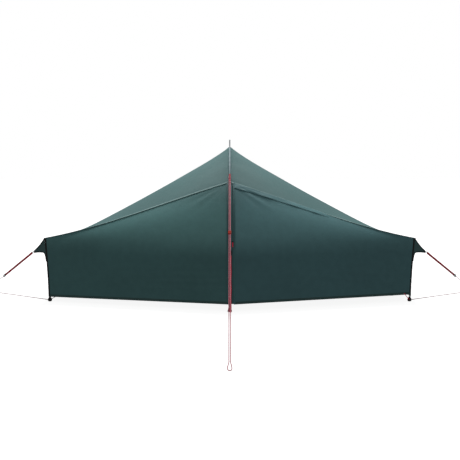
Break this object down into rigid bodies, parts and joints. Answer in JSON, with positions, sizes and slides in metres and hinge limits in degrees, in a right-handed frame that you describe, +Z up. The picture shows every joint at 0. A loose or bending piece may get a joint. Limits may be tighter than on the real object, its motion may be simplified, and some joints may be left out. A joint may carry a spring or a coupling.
{
  "type": "one-person hoop tent",
  "caption": "Low tent on one arched pole across its middle, with short corner struts, guylines, a zipped front door and an inner tent with a tub floor.",
  "frame": {"origin": "on the ground, under the middle of the arched pole", "axes": "+X along the tent to the right as seen from the door side, +Y to the rear, +Z up"},
  "size_m": [3.312, 2.7836, 1.018],
  "materials": {
    "roof": "ripstop polyester with a soft sheen",
    "wall": "ripstop polyester",
    "fin": "ripstop polyester with a black bound edge",
    "sleeve": "woven nylon",
    "pole": "anodised",
    "ring": "bare",
    "rubber": "moulded",
    "webbing": "woven webbing",
    "cord": "braided, with a reflective thread",
    "runner": "moulded",
    "plastic": "moulded",
    "zip": "coil zip on its tape",
    "tab": "woven webbing",
    "inner": "light breathable polyester",
    "floor": "coated polyester"
  },
  "bodies": {
    "root": {"apex_tab": "tab", "corner_strut_front_left": "pole", "corner_strut_front_right": "pole", "corner_strut_rear_left": "pole", "corner_strut_rear_right": "pole", "end_ring_left": "ring", "end_ring_right": "ring", "end_wall_left": "wall", "end_wall_right": "wall", "fin_front_left": "fin", "fin_front_right": "fin", "fin_line_left": "cord", "fin_line_right": "cord", "fin_rear_left": "fin", "fin_rear_right": "fin", "fin_ring_front_left": "ring", "fin_ring_front_right": "ring", "fin_strap_left": "webbing", "fin_strap_right": "webbing", "foot_buckle_front": "plastic", "foot_buckle_rear": "plastic", "foot_line_left": "cord", "foot_line_right": "cord", "foot_strap_front": "webbing", "foot_strap_rear": "webbing", "front_wall_left": "wall", "groundsheet": "floor", "guy_ring_front": "webbing", "guy_ring_rear": "webbing", "guyline": "cord", "hoop_foot_front": "rubber", "hoop_foot_rear": "rubber", "hoop_sleeve": "sleeve", "inner_canopy": "inner", "line_buckle_left": "plastic", "line_buckle_right": "plastic", "pole_section_1": "pole", "pole_section_2": "pole", "pole_section_3": "pole", "pole_section_4": "pole", "pole_section_5": "pole", "pole_section_6": "pole", "pole_section_7": "pole", "rear_wall_left": "wall", "rear_wall_right": "wall", "roof_left": "roof", "roof_right": "roof", "strut_foot_front_left": "rubber", "strut_foot_front_right": "rubber", "strut_foot_rear_left": "rubber", "strut_foot_rear_right": "rubber", "zip_tape": "zip"},
    "door": {"door_panel": "wall"},
    "slider": {"zip_slider": "plastic"},
    "pull": {"zip_pull": "webbing"},
    "runner": {"guyline_runner": "runner"},
    "rear_ring_left": {"fin_ring_rear_left": "ring"},
    "rear_ring_right": {"fin_ring_rear_right": "ring"}
  },
  "joints": [
    {"name": "door_swing", "type": "hinge", "parent": "root", "child": "door", "pos_m": [1.146, -0.401, 0], "axis": [0, 0, 1], "range_deg": [0, 100]},
    {"name": "zip_slide", "type": "hinge", "parent": "root", "child": "slider", "pos_m": [0, 0, 0.227], "axis": [-1, 0, 0], "range_deg": [-12.5, 28.5]},
    {"name": "pull_flip", "type": "hinge", "parent": "slider", "child": "pull", "pos_m": [0.017, -0.72675, 0.40148], "axis": [-1, 0, 0], "range_deg": [0, 150]},
    {"name": "runner_slide", "type": "slide", "parent": "root", "child": "runner", "axis": [0, -0.8902, -0.4556], "range_m": [-0.12, 0.45]},
    {"name": "rear_ring_left_swing", "type": "hinge", "parent": "root", "child": "rear_ring_left", "pos_m": [-1.22574, 0.33675, 0.261], "axis": [0.6262, -0.7796, 0], "range_deg": [-75, 75]},
    {"name": "rear_ring_right_swing", "type": "hinge", "parent": "root", "child": "rear_ring_right", "pos_m": [1.22574, 0.33675, 0.261], "axis": [0.6262, 0.7796, 0], "range_deg": [-75, 75]}
  ]
}
